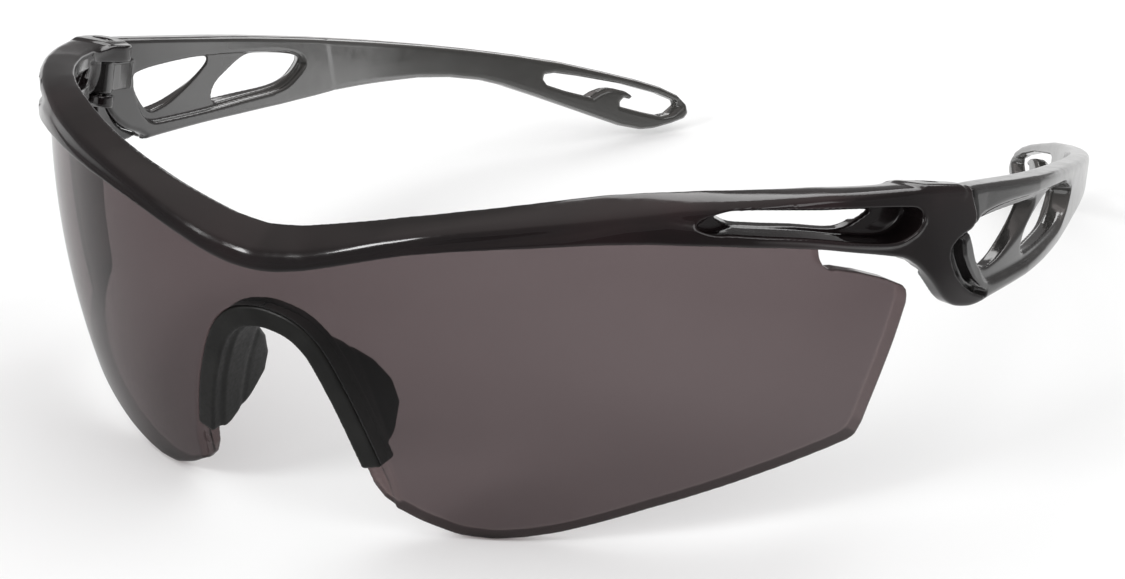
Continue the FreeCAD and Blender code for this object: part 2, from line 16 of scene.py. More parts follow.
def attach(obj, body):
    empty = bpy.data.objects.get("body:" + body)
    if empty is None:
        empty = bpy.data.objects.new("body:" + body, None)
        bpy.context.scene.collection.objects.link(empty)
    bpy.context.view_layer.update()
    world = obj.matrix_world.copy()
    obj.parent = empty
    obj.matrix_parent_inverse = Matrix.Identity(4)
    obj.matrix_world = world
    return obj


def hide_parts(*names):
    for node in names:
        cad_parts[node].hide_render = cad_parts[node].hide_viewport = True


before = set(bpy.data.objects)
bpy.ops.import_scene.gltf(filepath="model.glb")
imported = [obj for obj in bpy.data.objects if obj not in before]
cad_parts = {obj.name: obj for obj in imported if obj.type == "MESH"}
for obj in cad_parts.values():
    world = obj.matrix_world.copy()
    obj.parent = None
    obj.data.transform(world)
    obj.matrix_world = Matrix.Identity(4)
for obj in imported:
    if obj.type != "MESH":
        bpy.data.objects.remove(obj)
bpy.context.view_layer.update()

STEP = 0.22    # grid spacing
MM = 0.001

# Lengths are in mm. The origin of the shapes lies level with the hinge screw heads.
ORIGIN_Y, ORIGIN_Z = -30.9, 40.65
HINGE_X = 65.0
HINGE_TILT = math.radians(15.27)       # temples drop towards the back
LENS_TILT = math.radians(5.386)        # lens top leans forward
LENS_Y, LENS_Z = 19.192, -9.783        # centre of the lens torus
RADIUS_H, RADIUS_V = 69.43, 117.6      # lens radii, seen from above and from the side
TORUS_R = RADIUS_H - RADIUS_V
ARC_R = 69.4                           # turns degrees round the lens into arc length
BROW_END, LENS_END = 87.5, 71.5        # where the grids stop, in degrees
END_PIECE_START = 58.0                 # degrees
BROW_REAR = -3.35                      # offset of the rear of the brow from the lens face
LENS_THICKNESS = 2.2
FLANGE_WIDTH = 1.9
MARK_ANGLE, MARK_Z = 11.05, -17.3      # small ring on the lens, in degrees and mm
MARK_RADIUS = 0.55
TAIL_START, TAIL_SCALE = 60.0, 0.934   # temple stations behind the start are drawn in
WINDOW_SHIFT = 1.4                     # both hinge-end windows sit this much further back

# Brow and lens: (degrees round the lens, offset in front of the lens face)
FRONT_UPPER = [(0, 1.25), (45, 1.3), (55, 1.75), (63, 2.15), (72, 2.25), (79, 1.9), (86, 1.6)]
FRONT_LOWER = [(0, 1.25), (66, 1.25), (73, 1.6), (86, 1.7)]
# (degrees round the lens, height z in the lens frame)
BROW_BOTTOM = [
    (0, 10.7), (2.7, 10.9), (6.2, 11.7), (10, 12.9), (12.5, 13.7), (14.5, 14.3), (17.3, 15.0),
    (21.9, 15.6), (27, 15.85), (32.3, 15.8), (36, 15.65), (41, 15.0), (47.4, 13.5),
    (54.1, 11.5), (58.8, 9.8), (65.1, 6.9), (68.9, 5.0), (70.7, 3.0), (72.6, -0.1),
    (73.9, -2.8), (75.5, -4.6), (78.3, -6.0), (80.6, -6.4), (88, -6.4)]
BROW_CREST = [
    (0, 12.5), (5.9, 13.4), (10.4, 14.9), (14.6, 16.3), (18.7, 17.3), (23.2, 18.0), (30, 18.5),
    (38, 18.6), (45, 18.5), (50, 17.95), (56, 17.1), (60, 16.4), (66, 15.0), (70, 13.9),
    (74, 12.55), (78, 10.8), (88, 7.6)]
BROW_TOP = [
    (0, 14.8), (4.4, 15.3), (9.9, 16.5), (16.3, 17.8), (22.5, 18.7), (28.6, 19.3), (33, 19.6),
    (37.5, 19.7), (42, 19.4), (47.8, 18.65), (53.8, 17.45), (60.2, 16.0), (66.3, 14.2),
    (70.1, 13.1), (74.1, 11.6), (77.8, 9.8), (88, 6.8)]
LEDGE = [
    (0, 10.9), (8, 12.3), (13.6, 14.3), (17.5, 15.4), (21.9, 16.1), (28.5, 16.7), (33, 17.0),
    (38.6, 17.5), (43, 17.3), (47, 15.9), (52, 14.0), (88, 0.0)]
LENS_LOWER = [
    (10.0, -21.0), (12.6, -20.95), (15.2, -22.8), (19.3, -24.8), (22.9, -25.3), (26, -25.1),
    (30.1, -24.4), (39.7, -21.85), (45.7, -20.7), (51.8, -19.7), (57, -19.05), (62, -18.6),
    (75, -17.6)]
# (degrees, rise of the lens top above BROW_BOTTOM)
LENS_TOP_RISE = [(0, 1.8), (40, 1.8), (46, 0.7), (90, 0.7)]
# Closed outlines in (degrees, z); LENS_OUTER is the part cut away beyond the lens
LENS_OUTER = [
    (63.0, -26.0), (62.4, -18.9), (63.4, -18.1), (64.2, -16.6), (65.0, -14.2), (66.4, -10.5),
    (68.2, -5.9), (69.7, -1.8), (69.85, -0.8), (69.75, 0.0), (69.3, 0.75), (67.0, 2.6),
    (63.7, 4.7), (61.0, 6.1), (60.0, 6.4), (59.3, 7.2), (58.95, 8.2), (58.9, 9.6),
    (58.9, 30.0), (84, 30.0), (84, -26.0)]
POCKET = [
    (45.6, 16.5), (48.4, 17.35), (50.4, 17.2), (56, 16.0), (61.3, 14.5), (66.5, 12.8),
    (69.8, 11.5), (70.8, 10.6), (70.9, 9.7), (70.3, 8.7), (69.2, 8.1), (67.4, 7.9),
    (64.1, 9.0), (56.8, 12.1), (50.0, 14.35), (47.2, 15.1)]
SLOT = [
    (47.6, 16.75), (51.5, 16.0), (55.6, 14.95), (60.5, 13.5), (66.7, 11.5), (65.0, 10.4),
    (62.2, 10.1), (57.1, 11.95), (52.5, 13.35), (49.5, 14.45)]
# Nose notch, left half, in (x, z) of the lens frame
NOTCH = np.array([
    (0.0, 5.29), (2.0, 5.07), (4.1, 4.5), (6.1, 3.4), (8.0, 1.5), (9.35, -0.75), (10.45, -3.2),
    (11.6, -6.1), (12.6, -9.2), (13.35, -11.9), (14.05, -14.6), (14.7, -17.2)])
FLANGE_END = [(11.95, -15.9), (12.4, -18.0), (13.4, -19.9), (15.0, -21.4)]
# Rear outline of the nose wings, in (y, z) of the lens frame
WING_REAR = [
    (-65.4, 6.0), (-65.3, 3.0), (-64.4, 0.8), (-62.2, -1.3), (-59.2, -4.6), (-57.5, -7.9),
    (-57.6, -10.9), (-60.2, -13.6), (-63.2, -15.4), (-65.0, -16.6)]

# Hinge frame: v runs back along the temple and w up along the hinge pin.
# (v, w): line between end piece and temple, and the step in the temple behind it
PARTING = [
    (4.6, 2.5), (4.6, 0.2), (5.3, -1.2), (6.2, -2.4), (6.7, -3.4), (6.7, -4.1), (6.1, -4.8),
    (4.7, -5.5), (3.5, -6.2), (2.6, -7.2), (2.7, -8.4), (3.6, -9.7), (5.2, -11.1),
    (6.9, -12.2), (9.2, -13.15), (12.2, -13.75), (13.6, -14.2), (13.6, -22.0)]
LIP = [(4.5, -6.3), (4.6, -6.9), (5.4, -8.4), (7.1, -9.9), (9.5, -11.5), (12.3, -12.75),
       (14.2, -13.3)]
# (v, x) of the mid-surface, (v, thickness), (v, mid-surface to inner face)
TEMPLE_MID = [(-6, 67.60), (0, 67.60), (12, 67.45), (30, 66.96), (55, 63.01), (80, 55.9),
              (102, 44.8), (118, 34.8), (130, 26.8)]
TEMPLE_THICKNESS = [(-10, 3.5), (10, 3.5), (28, 3.9), (50, 3.4), (78, 3.1), (90, 2.7),
                    (106, 2.2), (200, 2.2)]
TEMPLE_INNER = [(0, 1.5), (82, 1.5), (104, 1.1), (200, 1.1)]
# Temple outline, front to back along the top and back to front below, in (v, w)
TEMPLE_TOP = [
    (4.9, 0.35), (8.7, 0.5), (12.9, 0.6), (22.7, 0.8), (36.9, 1.15), (50.2, 1.35),
    (63.4, 1.35), (75.6, 1.2), (84.2, 1.0), (92.4, 0.65), (100.3, 0.1), (108, -0.9),
    (114, -1.8), (118.2, -2.7), (121.4, -3.9), (123.1, -5.4), (123.6, -6.9), (123.0, -7.95),
    (121.0, -8.95), (118.2, -10.05), (116, -10.45)]
TEMPLE_BOTTOM = [
    (112.6, -10.1), (108.7, -9.1), (102.9, -7.6), (96.9, -6.1), (90.8, -4.7), (86.6, -4.1),
    (80.3, -3.95), (73.8, -4.35), (64.8, -5.55), (61.7, -6.0), (55.6, -7.05), (51.8, -7.95),
    (44.5, -9.5), (35.7, -11.1), (26.5, -12.6), (16.9, -14.2), (13.9, -14.75)]
# Openings through the temple, front to back, in (v, w)
WINDOW_1 = [
    (8.1, -4.9), (11.4, -3.9), (17.6, -2.9), (24.6, -2.2), (25.5, -2.45), (25.1, -3.5),
    (22.1, -6.2), (18.1, -8.9), (15.3, -10.1), (13.9, -10.4), (12.6, -10.1), (11.0, -8.8),
    (9.2, -6.8), (7.9, -5.5)]
WINDOW_2 = [
    (35.3, -1.7), (38.5, -1.4), (42.8, -1.35), (45.5, -1.65), (46.1, -2.35), (45.3, -3.8),
    (43.8, -5.3), (41.0, -6.7), (36.0, -7.9), (30.3, -9.15), (28.7, -9.2), (28.0, -8.5),
    (28.1, -7.3), (29.0, -5.95), (31.1, -4.25), (33.2, -2.7)]
WINDOW_3 = [
    (97.83, -2.3), (97.73, -3.1), (98.58, -4), (102.07, -4.8), (106.62, -5.5), (107.78, -4.6),
    (109.16, -3.9), (110.42, -3.7), (112.42, -4), (113.68, -4.7), (113.36, -5.3),
    (112.31, -5.1), (111.69, -5.9), (111.79, -6.7), (115.78, -7.4), (119.01, -7.8),
    (120.68, -7.3), (122, -5.8), (121.52, -5), (118.41, -4), (111.79, -2.8), (103.76, -2.1),
    (99.63, -1.9)]
# Recesses round the front windows, on the outer and the inner face, in (v, w)
WEB_OUTER = [
    (8.6, -3.9), (11.5, -3.0), (18, -2.1), (26, -1.5), (36, -0.9), (45.4, -0.75), (48.6, -2.1),
    (47.5, -4.4), (44, -7.0), (36, -8.8), (28, -10.4), (19, -11.7), (14.2, -12.0),
    (11.3, -10.2), (9.2, -7.2), (8.2, -5.3)]
WEB_INNER = [
    (10.2, -5.0), (12.8, -4.4), (19, -3.0), (26, -2.0), (36, -1.3), (45.0, -1.0), (48.2, -2.4),
    (47.2, -4.5), (43.8, -7.0), (36, -8.8), (28, -10.4), (19, -11.7), (14.6, -12.0),
    (12.0, -10.4), (10.2, -7.6), (9.6, -6.2)]
# Arm from temple to hinge barrel, in (x, v)
ARM = [(63.15, 0.7), (63.9, 3.4), (65.0, 6.6), (66.25, 9.6), (67.6, 9.6), (67.6, 4.3),
       (66.4, 3.2), (66.4, 0.0), (65.0, -0.5)]


# ---------------------------------------------------------- fields and outlines
def table_at(table, x, half=1.3):
    """Table value at |x|, averaged over half a span each way so that it stays fair."""
    total = 0.0
    for k in range(-6, 7):
        value = np.interp(np.abs(x + half * k / 6.0), *zip(*table))
        total = total + value * (7 - abs(k)) / 49.0
    return total


def fade(x, start, end):
    """0 at the start, 1 at the end, linear between."""
    return np.clip((x - start) / (end - start), 0, 1)


def sigmoid(x):
    return 1.0 / (1.0 + exp(-np.clip(x, -30, 30)))


def meet(a, b, radius):
    """Intersection of two fields with a rounded edge."""
    return (minimum(maximum(a, b), -radius)
            + sqrt(maximum(a + radius, 0) ** 2 + maximum(b + radius, 0) ** 2))


def join(a, b, radius):
    return -meet(-a, -b, radius)


def cut(solid, tool, radius):
    return meet(solid, -tool, radius)


def overlap(*fields):
    """Intersection with sharp edges."""
    return reduce(maximum, fields)


def slab(x, low, high):
    return maximum(low - x, x - high)


def box(x, y, centre, half):
    return maximum(np.abs(x - centre[0]) - half[0], np.abs(y - centre[1]) - half[1])


def spline(p0, p1, p2, p3, count):
    """Catmull-Rom points on each span p1 to p2, without the end of the last span."""
    rows = []
    for k in range(count):
        t = k / count
        rows.append(0.5 * (2 * p1 + (p2 - p0) * t + (2 * p0 - 5 * p1 + 4 * p2 - p3) * t * t
                           + (3 * p1 - p0 - 3 * p2 + p3) * t ** 3))
    return np.stack(rows, 1).reshape(-1, 2)


def closed_spline(points, count=4):
    points = np.array(points, float)
    return spline(*(np.roll(points, shift, 0) for shift in (1, 0, -1, -2)), count)


def polygon(x, y, points):
    """Signed distance to a closed outline."""
    squared = np.full(np.broadcast(x, y).shape, 1e9)
    inside = np.zeros(squared.shape, bool)
    points = np.array(points, float)
    for (ax, ay), (bx, by) in zip(points, np.roll(points, -1, 0)):
        ex, ey = bx - ax, by - ay
        length2 = ex * ex + ey * ey
        if length2 < 1e-12:
            continue
        t = np.clip(((x - ax) * ex + (y - ay) * ey) / length2, 0, 1)
        squared = minimum(squared, (x - ax - t * ex) ** 2 + (y - ay - t * ey) ** 2)
        if ay != by:
            inside ^= ((ay > y) != (by > y)) & (x < ex * (y - ay) / (by - ay) + ax)
    return np.where(inside, -1, 1) * sqrt(squared)


def arc_points(points):
    return [(degrees / 180 * math.pi * ARC_R, z) for degrees, z in points]


def arch_outline():
    """The smoothed notch on both sides, closed far below."""
    ends = NOTCH[1] * (-1, 1), 2 * NOTCH[-1] - NOTCH[-2]
    p = np.vstack([ends[0], NOTCH, ends[1]])
    half = np.vstack([spline(p[:-3], p[1:-2], p[2:-1], p[3:], 5), NOTCH[-1]])
    return np.vstack([half[:0:-1] * (-1, 1), half, [(15.8, -40.0), (-15.8, -40.0)]])


ARCH = arch_outline()


# ------------------------------------------------------------- fields to meshes
def surface_nets(field):
    """Quads round the zero level of a sampled field, in grid units."""
    nx, ny, nz = field.shape
    inside = field < 0
    corners = np.zeros((nx - 1, ny - 1, nz - 1), np.int8)
    for i, j, k in np.ndindex(2, 2, 2):
        corners += inside[i:nx - 1 + i, j:ny - 1 + j, k:nz - 1 + k]
    cells = np.argwhere((corners > 0) & (corners < 8))
    ids = np.full(corners.shape, -1, np.int64)
    ids[tuple(cells.T)] = np.arange(len(cells))
    # a cell's point is the mean of the crossings on its edges
    total, count = np.zeros((len(cells), 3)), np.zeros(len(cells))
    for axis in range(3):
        side1, side2 = [other for other in range(3) if other != axis]
        for i, j in np.ndindex(2, 2):
            start = cells.copy()
            start[:, side1] += i
            start[:, side2] += j
            end = start.copy()
            end[:, axis] += 1
            f0, f1 = field[tuple(start.T)], field[tuple(end.T)]
            crossed = (f0 < 0) != (f1 < 0)
            point = start.astype(float)
            point[:, axis] += np.where(crossed, f0 / np.where(crossed, f0 - f1, 1), 0)
            total += point * crossed[:, None]
            count += crossed
    # a quad round every grid edge that crosses the surface
    quads = []
    for axis in range(3):
        side1, side2 = (axis + 1) % 3, (axis + 2) % 3
        low, high = [slice(1, -1)] * 3, [slice(1, -1)] * 3
        low[axis], high[axis] = slice(0, -1), slice(1, None)
        inside_low, inside_high = inside[tuple(low)], inside[tuple(high)]
        edges = np.argwhere(inside_low != inside_high)
        flip = inside_high[tuple(edges.T)]
        edges[:, side1] += 1
        edges[:, side2] += 1
        around = []
        for i, j in ((-1, -1), (0, -1), (0, 0), (-1, 0)):
            cell = edges.copy()
            cell[:, side1] += i
            cell[:, side2] += j
            around.append(ids[tuple(cell.T)])
        around = np.stack(around, 1)
        around[flip] = around[flip][:, ::-1]
        quads.append(around)
    return total / count[:, None], np.concatenate(quads)


def smoothed(points, quads, passes):
    """Each pass shrinks and then swells, so that the volume holds."""
    start, end = quads.T.ravel(), np.roll(quads, -1, 1).T.ravel()
    n = len(points)
    degree = np.bincount(start, minlength=n) + np.bincount(end, minlength=n)
    for _ in range(passes):
        for factor in (0.5, -0.52):
            near = np.stack([np.bincount(start, points[end, k], n)
                             + np.bincount(end, points[start, k], n) for k in range(3)], 1)
            points = points + factor * (near / degree[:, None] - points)
    return points


def largest_shell(points, quads):
    """Drops loose crumbs."""
    label = np.arange(len(points))
    while True:
        lowest = label[quads].min(1)
        new = label.copy()
        for k in range(4):
            np.minimum.at(new, quads[:, k], lowest)
        new = new[new]
        if (new == label).all():
            break
        label = new
    shells, sizes = np.unique(label[quads[:, 0]], return_counts=True)
    quads = quads[label[quads[:, 0]] == shells[sizes.argmax()]]
    used, index = np.unique(quads, return_inverse=True)
    return points[used], index.reshape(quads.shape)


def field_mesh(field, axes, passes, mirror=True):
    """Coordinates along the axes, and quads; the first axis may be mirrored at 0."""
    if mirror:
        field = np.concatenate([field[:0:-1], field])
        axes = [np.concatenate([-axes[0][:0:-1], axes[0]]), *axes[1:]]
    points, quads = surface_nets(field)
    points, quads = largest_shell(smoothed(points, quads, passes), quads)
    return [np.interp(points[:, k], np.arange(len(axis)), axis)
            for k, axis in enumerate(axes)], quads


def make(name, xyz, quads, materials, body, node, flip=False, index=None):
    x, y, z = xyz
    mesh = bpy.data.meshes.new(name)
    points = np.stack([x, y + ORIGIN_Y, z + ORIGIN_Z], 1) * MM
    if flip:
        quads = quads[:, ::-1]
    mesh.vertices.add(len(points))
    mesh.vertices.foreach_set("co", points.astype(np.float32).ravel())
    mesh.loops.add(quads.size)
    mesh.loops.foreach_set("vertex_index", quads.astype(np.int32).ravel())
    mesh.polygons.add(len(quads))
    mesh.polygons.foreach_set("loop_start", np.arange(0, quads.size, 4, dtype=np.int32))
    mesh.polygons.foreach_set("loop_total", np.full(len(quads), 4, np.int32))
    mesh.update(calc_edges=True)
    mesh.validate()
    mesh.polygons.foreach_set("use_smooth", np.ones(len(mesh.polygons), bool))
    for material in materials:
        mesh.materials.append(material)
    if index is not None:
        mesh.polygons.foreach_set("material_index", index.astype(np.int32))
    thing = bpy.data.objects.new(name, mesh)
    bpy.context.scene.collection.objects.link(thing)
    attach(thing, body)
    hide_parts(node)


# ----------------------------------------------------------------------- frames
def turn(y, z, angle):
    return y * cos(angle) - z * sin(angle), y * sin(angle) + z * cos(angle)


def lens_to_world(x, y, z):
    y, z = turn(y, z, LENS_TILT)
    return x, y + LENS_Y, z + LENS_Z


def lens_radius(z, offset=0):
    """Distance from the lens axis at height z, this far in front of the lens face."""
    return TORUS_R + sqrt((RADIUS_V + offset) ** 2 - z * z)


def lens_offset(x, y, z):
    """Distance in front of the lens face, in the lens frame."""
    return sqrt((sqrt(x * x + y * y) - TORUS_R) ** 2 + z * z) - RADIUS_V


def round_lens(angle, offset, z):
    r = lens_radius(z, offset)
    return lens_to_world(r * sin(angle), -r * cos(angle), z)


def pin_distance(x, v):
    return sqrt((x - HINGE_X) ** 2 + v ** 2)


def behind_parting(v, w, shift=0):
    line = [(point_v + shift, point_w) for point_v, point_w in PARTING]
    return polygon(v, w, line + [(60.0, -22.0), (60.0, 2.5)])


# -------------------------------------------------------------------- materials
def feed(tree, node, inputs):
    """Links sockets to the inputs of a node, and sets plain values."""
    for key, value in inputs.items():
        if isinstance(value, bpy.types.NodeSocket):
            tree.links.new(value, node.inputs[key])
        else:
            node.inputs[key].default_value = value


def add_node(tree, kind, inputs={}, **settings):
    node = tree.nodes.new("ShaderNode" + kind)
    for key, value in settings.items():
        setattr(node, key, value)
    feed(tree, node, inputs)
    return node


def new_material(name):
    """Material, its tree, its Principled node and object coordinates in mm."""
    material = bpy.data.materials.new(name)
    material.use_nodes = True
    tree = material.node_tree
    metres = add_node(tree, "TexCoord").outputs["Object"]
    place = add_node(tree, "Mapping", {"Vector": metres, "Scale": (1000, 1000, 1000)})
    return material, tree, tree.nodes["Principled BSDF"], place.outputs["Vector"]


def noise(tree, place, scale, detail):
    return add_node(tree, "TexNoise", {"Scale": scale, "Detail": detail, "Roughness": 0.5,
                                       "Vector": place}).outputs["Fac"]


def ramp(tree, factor, stops):
    """Colour ramp; stops are (position, (red, green, blue))."""
    node = add_node(tree, "ValToRGB", {"Fac": factor})
    elements = node.color_ramp.elements
    for k in (0, -1):
        elements[k].position, elements[k].color = stops[k][0], (*stops[k][1], 1)
    for position, colour in stops[1:-1]:
        elements.new(position).color = (*colour, 1)
    return node.outputs["Color"]


def remap(tree, value, source, target):
    keys = ("From Min", "From Max", "To Min", "To Max", "Value")
    inputs = dict(zip(keys, (*source, *target, value)))
    return add_node(tree, "MapRange", inputs).outputs["Result"]


def mottle(tree, place, scale, detail, target):
    """Noise spread over the target range."""
    return remap(tree, noise(tree, place, scale, detail), source=(0.3, 0.7), target=target)


def bump(tree, place, scale, detail, strength, distance):
    inputs = {"Strength": strength, "Distance": distance,
              "Height": noise(tree, place, scale, detail)}
    return add_node(tree, "Bump", inputs).outputs["Normal"]


def calc(tree, operation, *values):
    return add_node(tree, "Math", dict(enumerate(values)), operation=operation).outputs[0]


def separate(tree, vector):
    return add_node(tree, "SeparateXYZ", {0: vector}).outputs


def mix_colours(tree, factor, first, second):
    inputs = {0: factor, 6: first, 7: second}    # sockets 6 and 7 are the colours
    return add_node(tree, "Mix", inputs, data_type="RGBA").outputs[2]


def frame_material():
    """Glossy near-black plastic."""
    material, tree, shader, place = new_material("gloss_frame")
    feed(tree, shader, {
        "Base Color": ramp(tree, noise(tree, place, scale=0.05, detail=2.0), [
            (0.3, (0.0065, 0.0055, 0.0058)), (0.55, (0.012, 0.0085, 0.009)),
            (0.75, (0.022, 0.012, 0.013))]),
        "Roughness": mottle(tree, place, scale=0.6, detail=4.0, target=(0.10, 0.19)),
        "IOR": 1.5, "Coat Weight": 0.35, "Coat Roughness": 0.05,
        "Normal": bump(tree, place, scale=0.22, detail=2.0, strength=0.10, distance=0.00025)})
    return material


def temple_material():
    """Smoky plastic, darker towards the hinge and clearer towards the tip."""
    material, tree, shader, place = new_material("smoke_temple")
    back = remap(tree, separate(tree, place)["Y"], source=(-25.0, 30.0), target=(0.0, 0.75))
    cloud = noise(tree, place, scale=0.07, detail=3.0)
    along = calc(tree, "MULTIPLY_ADD", cloud, 0.25, back)
    feed(tree, shader, {
        "Base Color": ramp(tree, along, [
            (0.1, (0.016, 0.015, 0.015)), (0.85, (0.054, 0.053, 0.050))]),
        "Transmission Weight": remap(tree, along, source=(0.1, 0.85), target=(0.05, 0.20)),
        "Roughness": mottle(tree, place, scale=0.5, detail=4.0, target=(0.10, 0.20)),
        "IOR": 1.5, "Coat Weight": 0.4, "Coat Roughness": 0.05,
        "Normal": bump(tree, place, scale=0.2, detail=2.0, strength=0.10, distance=0.00025)})
    return material


def rubber_material():
    material, tree, shader, place = new_material("satin_rubber")
    feed(tree, shader, {
        "Base Color": ramp(tree, noise(tree, place, scale=0.3, detail=4.0), [
            (0.3, (0.005, 0.005, 0.0045)), (0.7, (0.010, 0.010, 0.009))]),
        "Roughness": mottle(tree, place, scale=2.0, detail=5.0, target=(0.34, 0.5)),
        "Normal": bump(tree, place, scale=5.0, detail=4.0, strength=0.12, distance=0.00006)})
    return material


def steel_material():
    material, tree, shader, place = new_material("bright_screw")
    feed(tree, shader, {
        "Base Color": ramp(tree, noise(tree, place, scale=3.0, detail=4.0), [
            (0.3, (0.62, 0.60, 0.57)), (0.7, (0.84, 0.82, 0.79))]),
        "Metallic": 1.0,
        "Roughness": mottle(tree, place, scale=9.0, detail=3.0, target=(0.16, 0.34)),
        "Normal": bump(tree, place, scale=12.0, detail=3.0, strength=0.15, distance=0.00003)})
    return material


def lens_material(name, tint, edge=False):
    """Tinted clear plastic: each surface takes half of the tint, more at a slant."""
    material, tree, shader, place = new_material(name)
    tree.nodes.remove(shader)
    facing = add_node(tree, "LayerWeight", {"Blend": 0.5}).outputs["Facing"]
    cosine = calc(tree, "SUBTRACT", 1.0, facing)
    # squared cosine of the ray inside the plastic, then the length of its path
    bent = calc(tree, "MULTIPLY_ADD", calc(tree, "MULTIPLY", cosine, cosine), 0.44, 0.56)
    path = calc(tree, "INVERSE_SQRT", bent)
    geometry = add_node(tree, "NewGeometry").outputs
    if edge:                           # painted shade: the cut edge is darkest where it faces up, and painted lighter where it faces sideways or down
        up = separate(tree, geometry["Normal"])["Z"]
        painted_shade_or_mottle = remap(tree, up, source=(0.25, 0.75), target=(1.7, 0.6))
    else:
        # on the faces this is only a faint random mottle of the tint
        painted_shade_or_mottle = mottle(tree, place, scale=0.03, detail=2.0, target=(0.97, 1.03))
    channels = [calc(tree, "MULTIPLY", calc(tree, "POWER", base, path), painted_shade_or_mottle)
                for base in tint]
    colour = add_node(tree, "CombineColor", dict(enumerate(channels))).outputs[0]
    clear = add_node(tree, "BsdfTransparent", {"Color": colour})
    gloss = add_node(tree, "BsdfGlossy", {
        "Color": (1, 1, 1, 1),
        "Roughness": mottle(tree, place, scale=0.8, detail=3.0, target=(0.015, 0.045)),
        "Normal": bump(tree, place, scale=0.06, detail=2.0, strength=0.02, distance=0.0001)})
    # only outward faces reflect
    outward = calc(tree, "SUBTRACT", 1.0, geometry["Backfacing"])
    fresnel = add_node(tree, "Fresnel", {"IOR": 1.5}).outputs[0]
    mixed = add_node(tree, "MixShader", {
        0: calc(tree, "MULTIPLY", fresnel, outward), 1: clear.outputs[0], 2: gloss.outputs[0]})
    feed(tree, tree.nodes["Material Output"], {"Surface": mixed.outputs[0]})
    return material


FRAME_PLASTIC = frame_material()
TEMPLE_PLASTIC = temple_material()
RUBBER = rubber_material()
STEEL = steel_material()
LENS_FACE = lens_material("smoke_lens", tint=(0.392, 0.350, 0.354))
# the darker tint of the cut edge is painted shade for the dark rim line round the lens
LENS_EDGE = lens_material("smoke_lens_edge", tint=(0.26, 0.225, 0.225), edge=True)


# ------------------------------------------------------------------- brow frame
def end_piece(solid, angle, offset, z, pocket, below):
    """Parting, hollow, lug, shelf and screw seat, in the hinge frame."""
    x, y, world_z = round_lens(angle, offset, z)
    v, w = turn(y, world_z, HINGE_TILT)
    hollow = polygon(v, w, [
        (-9.0, -2.3), (30.0, -2.3), (30.0, -30.0), (-3.0, -30.0), (-9.0, -12.0)])
    pocket_wall = maximum(pocket - 0.85, -2.6 - offset)
    hollow = cut(meet(hollow, offset + 0.85, 0.7), pocket_wall, 0.3)
    solid = cut(solid, behind_parting(v, w), 0.22)
    solid = cut(solid, hollow, 0.18)

    pin = pin_distance(x, v)
    skin = offset - 1.1                # keeps the hinge parts inside the front face
    slope = (w + 0.02 - 0.405 * (v + 2.8)) * 0.93
    root = maximum(box(x, v, centre=(63.57, -3.25), half=(2.92, 3.25)), slope)
    lug = maximum(meet(minimum(pin - 4.35, root), slab(w, -2.3, 0.10), 0.35), skin)
    solid = join(solid, lug, 0.3 + 1.1 * fade(w, -1.9, -0.7))
    shelf = minimum(pin - 2.45, box(x, v, centre=(65.9, -1.2), half=(2.6, 1.7)))
    shelf = overlap(shelf, slab(w, -9.3, -7.5), skin, below + 0.1)
    solid = join(solid, shelf, 0.25)
    # room for the barrel, screw hole and seat of the screw head
    solid = cut(solid, maximum(pin - 2.4, slab(w, -7.5, -2.35)), 0.05)
    solid = cut(solid, maximum(pin - 0.78, w - 3), 0.05)
    return cut(solid, meet(pin - 1.36, -0.93 - w, 0.05), 0.12)


def build_brow():
    arc = np.arange(0, math.radians(BROW_END) * ARC_R, STEP)
    axes = [arc / ARC_R, np.arange(-9.2, 3.4, STEP * 0.9), np.arange(-8.5, 21.5, STEP)]
    angle, offset, z = np.ix_(*axes)
    arc = arc[:, None, None]
    degrees = np.degrees(angle)
    bottom, crest, top, lower, upper = (table_at(table, degrees) for table in (
        BROW_BOTTOM, BROW_CREST, BROW_TOP, FRONT_LOWER, FRONT_UPPER))
    below = bottom - z
    face = lower + (upper - lower) / maximum(crest - bottom, 2.0) * (z - bottom)
    # the ledge under the crease stands a little proud of the bar above it
    above_ledge = z - table_at(LEDGE, degrees, half=0.8)
    ledge = 0.30 * sigmoid(-2.2 * above_ledge / 0.42)
    crease = 0.10 * exp(-((above_ledge - 0.75) / 0.8) ** 2)
    ledge_span = fade(degrees, 9.0, 15.0) * fade(degrees, 60.0, 48.0)
    front = offset - face - ledge_span * (ledge - crease) + 0.05
    # slope from the crest back to the rear edge, slightly crowned
    rise, depth = top - crest, upper + 2.6
    length = sqrt(rise * rise + depth * depth)
    crown = 0.22 * np.clip(1 - ((offset + 0.7) / 2.2) ** 2, 0, 1)
    roof = (z - crest) * (depth / length) + (offset - upper) * (rise / length) - crown
    solid = meet(front, roof, 1.0)
    solid = meet(solid, below, 0.42)
    solid = meet(solid, BROW_REAR - offset, 0.6)
    # long recess with a raised rim, open at the front, with a slot right through
    pocket = polygon(arc, z, closed_spline(arc_points(POCKET)))
    slot = polygon(arc, z, closed_spline(arc_points(SLOT)))
    deep = fade(degrees, 45.2, 50.2)
    floor = -1.75 * deep + 1.2 * (1 - deep)
    rim = fade(degrees, 47.0, 52.0) * np.clip((crest - 3.0 - z) / 1.5, 0.15, 1)
    bead = sqrt((pocket - 0.30) ** 2 + (offset - face + 0.16) ** 2) - 0.46 * rim
    solid = join(solid, bead, 0.18)
    solid = cut(solid, meet(pocket, floor - offset, 0.55), 0.16)
    solid = cut(solid, slot + 0.28, 0.25)
    end = int(np.searchsorted(degrees.ravel(), END_PIECE_START))
    solid[end:] = end_piece(solid[end:], angle[end:], offset, z, pocket[end:], below[end:])
    coords, quads = field_mesh(solid, axes, passes=5)
    make("brow_frame_shell", round_lens(*coords), quads, [FRAME_PLASTIC],
         "front", "brow_frame", flip=True)


